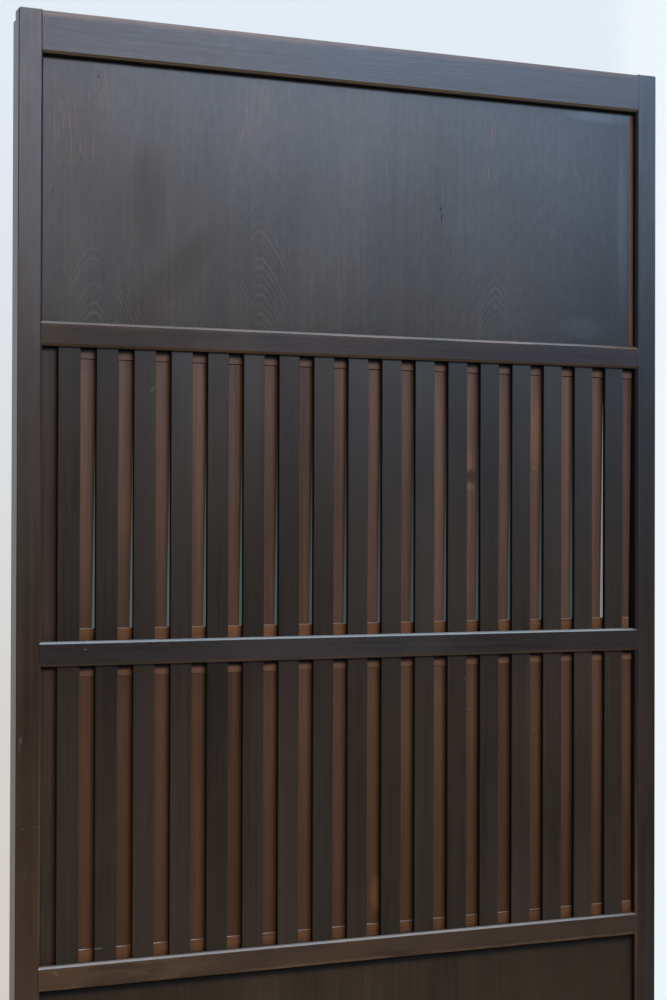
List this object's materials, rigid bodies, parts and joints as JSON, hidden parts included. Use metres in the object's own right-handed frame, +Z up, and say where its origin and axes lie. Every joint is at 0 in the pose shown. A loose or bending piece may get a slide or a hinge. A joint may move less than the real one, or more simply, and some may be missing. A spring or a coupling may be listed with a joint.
{
  "type": "sliding door leaf with slatted shutters",
  "caption": "Dark-stained wooden sliding door leaf: framed panels above and below, and slatted ventilation sections whose gaps open and close with sliding slat shutters behind",
  "frame": {"origin": "middle of the leaf's bottom edge, halfway through its thickness", "axes": "+Z up the leaf, +X to the right seen from the front, +Y from the front face to the back"},
  "size_m": [0.9, 0.03, 1.76],
  "materials": {
    "frame_wood": "dark brown stain, worn matt, rubbed lighter along the arrises",
    "panel_wood": "dark stain with a grey sheen, vertical grain, rubbed streaks",
    "slat_wood": "near-black stain, matt",
    "strip_wood": "dark brown stain, matt",
    "shutter_wood": "reddish brown stain, thin and matt",
    "shutter_rail_wood": "thin brown stain, paler than the slats"
  },
  "bodies": {
    "frame": {"left_stile": "frame_wood", "right_stile": "frame_wood", "top_rail": "frame_wood", "upper_mid_rail": "frame_wood", "middle_rail": "frame_wood", "lower_mid_rail": "frame_wood", "bottom_rail": "frame_wood", "top_panel": "panel_wood", "bottom_panel": "panel_wood", "upper_closing_strip": "strip_wood", "lower_closing_strip": "strip_wood", "upper_fixed_slat_01": "slat_wood", "upper_fixed_slat_02": "slat_wood", "upper_fixed_slat_03": "slat_wood", "upper_fixed_slat_04": "slat_wood", "upper_fixed_slat_05": "slat_wood", "upper_fixed_slat_06": "slat_wood", "upper_fixed_slat_07": "slat_wood", "upper_fixed_slat_08": "slat_wood", "upper_fixed_slat_09": "slat_wood", "upper_fixed_slat_10": "slat_wood", "upper_fixed_slat_11": "slat_wood", "upper_fixed_slat_12": "slat_wood", "upper_fixed_slat_13": "slat_wood", "upper_fixed_slat_14": "slat_wood", "upper_fixed_slat_15": "slat_wood", "upper_fixed_slat_16": "slat_wood", "upper_fixed_slat_17": "slat_wood", "lower_fixed_slat_01": "slat_wood", "lower_fixed_slat_02": "slat_wood", "lower_fixed_slat_03": "slat_wood", "lower_fixed_slat_04": "slat_wood", "lower_fixed_slat_05": "slat_wood", "lower_fixed_slat_06": "slat_wood", "lower_fixed_slat_07": "slat_wood", "lower_fixed_slat_08": "slat_wood", "lower_fixed_slat_09": "slat_wood", "lower_fixed_slat_10": "slat_wood", "lower_fixed_slat_11": "slat_wood", "lower_fixed_slat_12": "slat_wood", "lower_fixed_slat_13": "slat_wood", "lower_fixed_slat_14": "slat_wood", "lower_fixed_slat_15": "slat_wood", "lower_fixed_slat_16": "slat_wood", "lower_fixed_slat_17": "slat_wood"},
    "upper_shutter": {"upper_shutter_top_rail": "shutter_rail_wood", "upper_shutter_bottom_rail": "shutter_rail_wood", "upper_shutter_slats": "shutter_wood"},
    "lower_shutter": {"lower_shutter_top_rail": "shutter_rail_wood", "lower_shutter_bottom_rail": "shutter_rail_wood", "lower_shutter_slats": "shutter_wood"}
  },
  "joints": [
    {"name": "upper_shutter_slide", "type": "slide", "parent": "frame", "child": "upper_shutter", "axis": [-1, 0, 0], "range_m": [0, 0.0176]},
    {"name": "lower_shutter_slide", "type": "slide", "parent": "frame", "child": "lower_shutter", "axis": [-1, 0, 0], "range_m": [0, 0.0224]}
  ]
}
